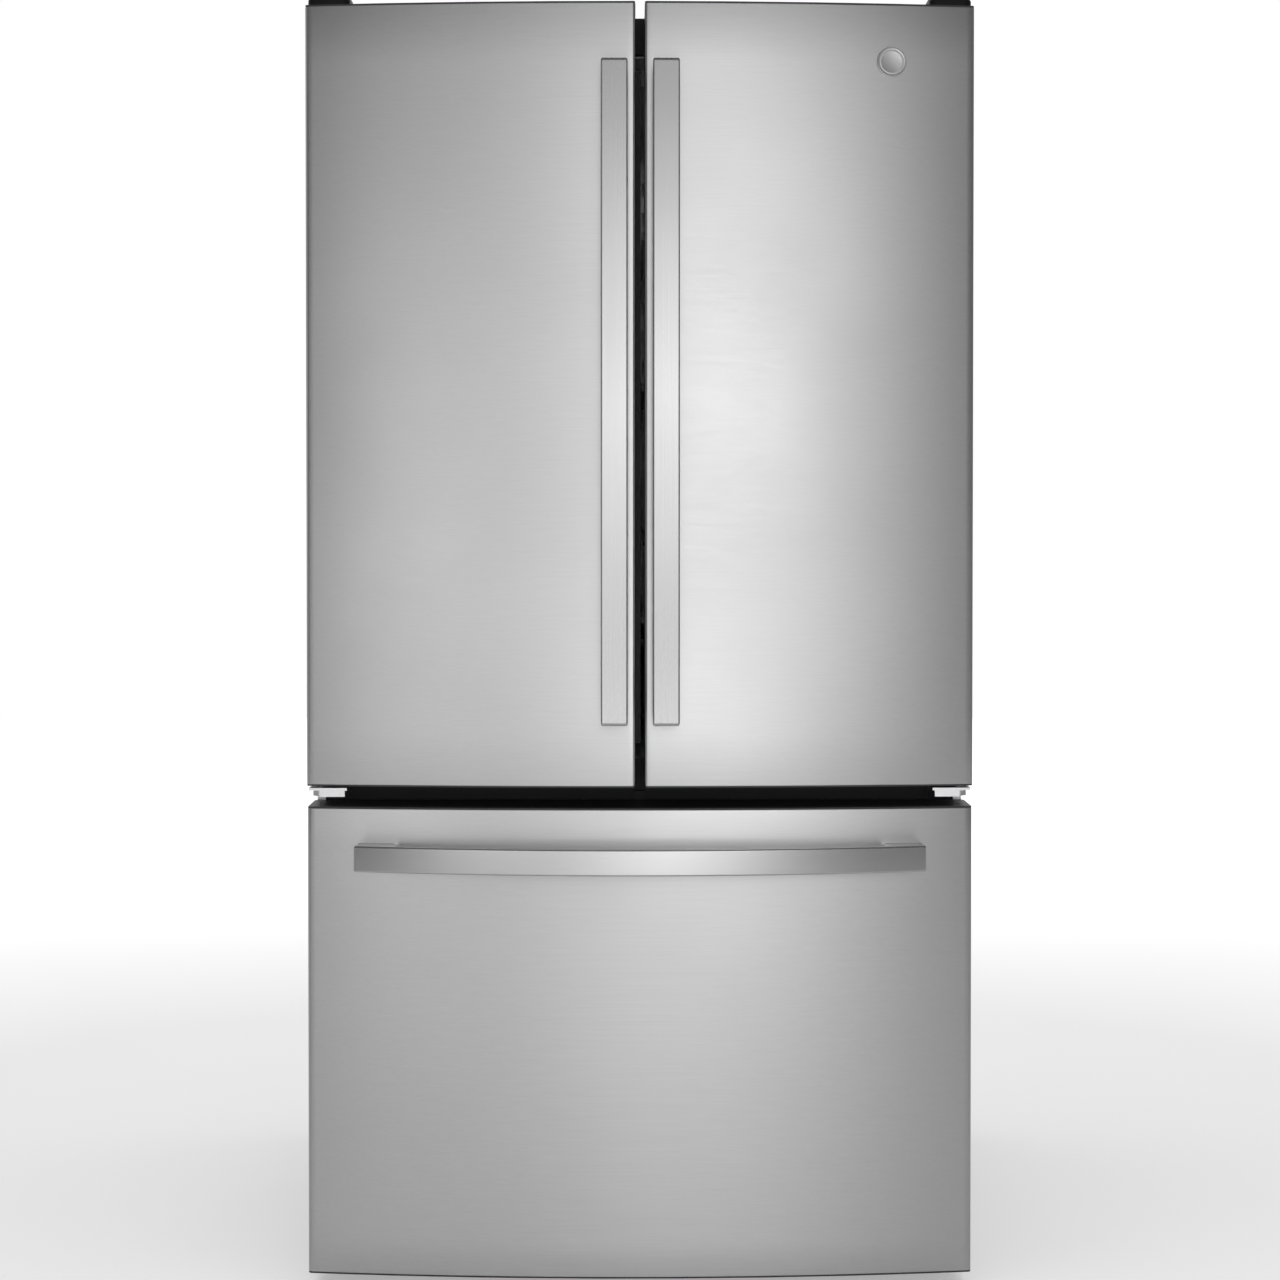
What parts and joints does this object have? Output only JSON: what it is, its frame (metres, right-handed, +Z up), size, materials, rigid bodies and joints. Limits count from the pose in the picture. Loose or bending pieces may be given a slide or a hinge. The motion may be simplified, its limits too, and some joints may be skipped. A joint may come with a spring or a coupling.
{
  "type": "french door refrigerator",
  "caption": "Tall refrigerator with paired hinged doors with bowed brushed steel fronts and bar handles over a pull-out freezer drawer, with shelves, bins and cooling parts inside.",
  "frame": {"origin": "middle of the footprint, on the floor", "axes": "+Z up, the doors face -Y, +X to the right of someone facing the doors"},
  "size_m": [0.908, 0.921, 1.775],
  "materials": {
    "stainless": "horizontal brushed grain",
    "handle_steel": "brushed along the bar",
    "badge_metal": "brushed disc",
    "case_paint": "black textured enamel",
    "back_steel": "galvanised",
    "frame_steel": "galvanised",
    "foam": "rigid foam",
    "liner_white": "moulded white",
    "panel_plastic": "satin light grey",
    "zinc": "zinc plated",
    "black_plastic": "fine texture",
    "dark_plastic": "fine texture",
    "glass": "clear with green edge",
    "clear_plastic": "clear moulded",
    "lens": "frosted",
    "seal": "soft matte",
    "aluminium": "mill finish",
    "compressor_paint": "black enamel",
    "basket_wire": "white coated",
    "roller": "hard wheel"
  },
  "bodies": {
    "cabinet": {"case_wrapper": "case_paint", "back_panel": "back_steel", "base_frame": "frame_steel", "foam_insulation": "foam", "fridge_liner": "liner_white", "freezer_liner": "liner_white", "cross_rail": "case_paint", "top_hinges": "zinc", "hinge_covers": "black_plastic", "middle_hinges": "zinc", "shelf_tracks": "zinc", "shelf_frames": "liner_white", "shelf_glass": "glass", "drawer_rails": "liner_white", "control_panel": "panel_plastic", "light_lenses": "lens", "evaporator": "aluminium", "evaporator_cover": "liner_white", "compressor": "compressor_paint", "condenser": "compressor_paint", "drain_pan": "black_plastic", "machine_cover": "back_steel", "cord_gland": "black_plastic", "freezer_slides": "zinc", "screws": "zinc"},
    "left_door": {"left_door_skin": "stainless", "left_door_caps": "dark_plastic", "left_door_foam": "foam", "left_door_liner": "liner_white", "left_door_gasket": "seal", "left_door_handle": "handle_steel", "left_door_bins": "clear_plastic"},
    "right_door": {"right_door_skin": "stainless", "right_door_caps": "dark_plastic", "right_door_foam": "foam", "right_door_liner": "liner_white", "right_door_gasket": "seal", "right_door_handle": "handle_steel", "right_door_bins": "clear_plastic", "badge": "badge_metal"},
    "mullion_flap": {"mullion": "dark_plastic"},
    "freezer_drawer": {"drawer_skin": "stainless", "drawer_caps": "dark_plastic", "drawer_foam": "foam", "drawer_liner": "liner_white", "drawer_gasket": "seal", "drawer_handle": "handle_steel", "drawer_slides": "zinc", "freezer_basket": "liner_white"},
    "mid_slide_pair": {"mid_slides": "zinc"},
    "upper_freezer_basket": {"upper_basket": "basket_wire"},
    "left_crisper_bin": {"left_crisper": "clear_plastic"},
    "right_crisper_bin": {"right_crisper": "clear_plastic"},
    "deli_bin": {"deli_drawer": "clear_plastic"},
    "front_roller_pair": {"front_rollers": "roller"},
    "rear_roller_pair": {"rear_rollers": "roller"},
    "condenser_fan_rotor": {"condenser_fan": "black_plastic"},
    "evaporator_fan_rotor": {"evaporator_fan": "black_plastic"},
    "left_levelling_leg": {"left_leg": "zinc"},
    "right_levelling_leg": {"right_leg": "zinc"}
  },
  "joints": [
    {"name": "left_door_hinge", "type": "hinge", "parent": "cabinet", "child": "left_door", "pos_m": [-0.44, -0.3355, 1.222], "axis": [0, 0, -1], "range_deg": [0, 125]},
    {"name": "right_door_hinge", "type": "hinge", "parent": "cabinet", "child": "right_door", "pos_m": [0.44, -0.3355, 1.222], "axis": [0, 0, 1], "range_deg": [0, 125]},
    {"name": "mullion_hinge", "type": "hinge", "parent": "left_door", "child": "mullion_flap", "pos_m": [-0.0485, -0.2785, 1.211], "axis": [0, 0, 1], "range_deg": [0, 90]},
    {"name": "freezer_slide", "type": "slide", "parent": "cabinet", "child": "freezer_drawer", "axis": [0, -1, 0], "range_m": [0, 0.46]},
    {"name": "mid_slide", "type": "slide", "parent": "cabinet", "child": "mid_slide_pair", "axis": [0, -1, 0], "range_m": [0, 0.23]},
    {"name": "upper_basket_slide", "type": "slide", "parent": "freezer_drawer", "child": "upper_freezer_basket", "axis": [0, 1, 0], "range_m": [0, 0.2]},
    {"name": "left_crisper_slide", "type": "slide", "parent": "cabinet", "child": "left_crisper_bin", "axis": [0, -1, 0], "range_m": [0, 0.125]},
    {"name": "right_crisper_slide", "type": "slide", "parent": "cabinet", "child": "right_crisper_bin", "axis": [0, -1, 0], "range_m": [0, 0.125]},
    {"name": "deli_slide", "type": "slide", "parent": "cabinet", "child": "deli_bin", "axis": [0, -1, 0], "range_m": [0, 0.125]},
    {"name": "front_roller_axle", "type": "hinge", "parent": "cabinet", "child": "front_roller_pair", "pos_m": [0, -0.23, 0.02], "axis": [1, 0, 0], "continuous": true},
    {"name": "rear_roller_axle", "type": "hinge", "parent": "cabinet", "child": "rear_roller_pair", "pos_m": [0, 0.425, 0.02], "axis": [1, 0, 0], "continuous": true},
    {"name": "condenser_fan_shaft", "type": "hinge", "parent": "cabinet", "child": "condenser_fan_rotor", "pos_m": [0.02, 0.362, 0.145], "axis": [1, 0, 0], "continuous": true},
    {"name": "evaporator_fan_shaft", "type": "hinge", "parent": "cabinet", "child": "evaporator_fan_rotor", "pos_m": [0, 0.343, 0.575], "axis": [0, 1, 0], "continuous": true},
    {"name": "left_leg_thread", "type": "hinge", "parent": "cabinet", "child": "left_levelling_leg", "pos_m": [-0.37, -0.24, 0.05], "axis": [0, 0, 1], "continuous": true},
    {"name": "right_leg_thread", "type": "hinge", "parent": "cabinet", "child": "right_levelling_leg", "pos_m": [0.37, -0.24, 0.05], "axis": [0, 0, 1], "continuous": true}
  ],
  "couplings": [
    {"joint": "mullion_hinge", "follows": "left_door_hinge", "ratio": 0.72},
    {"joint": "mid_slide", "follows": "freezer_slide", "ratio": 0.5}
  ]
}
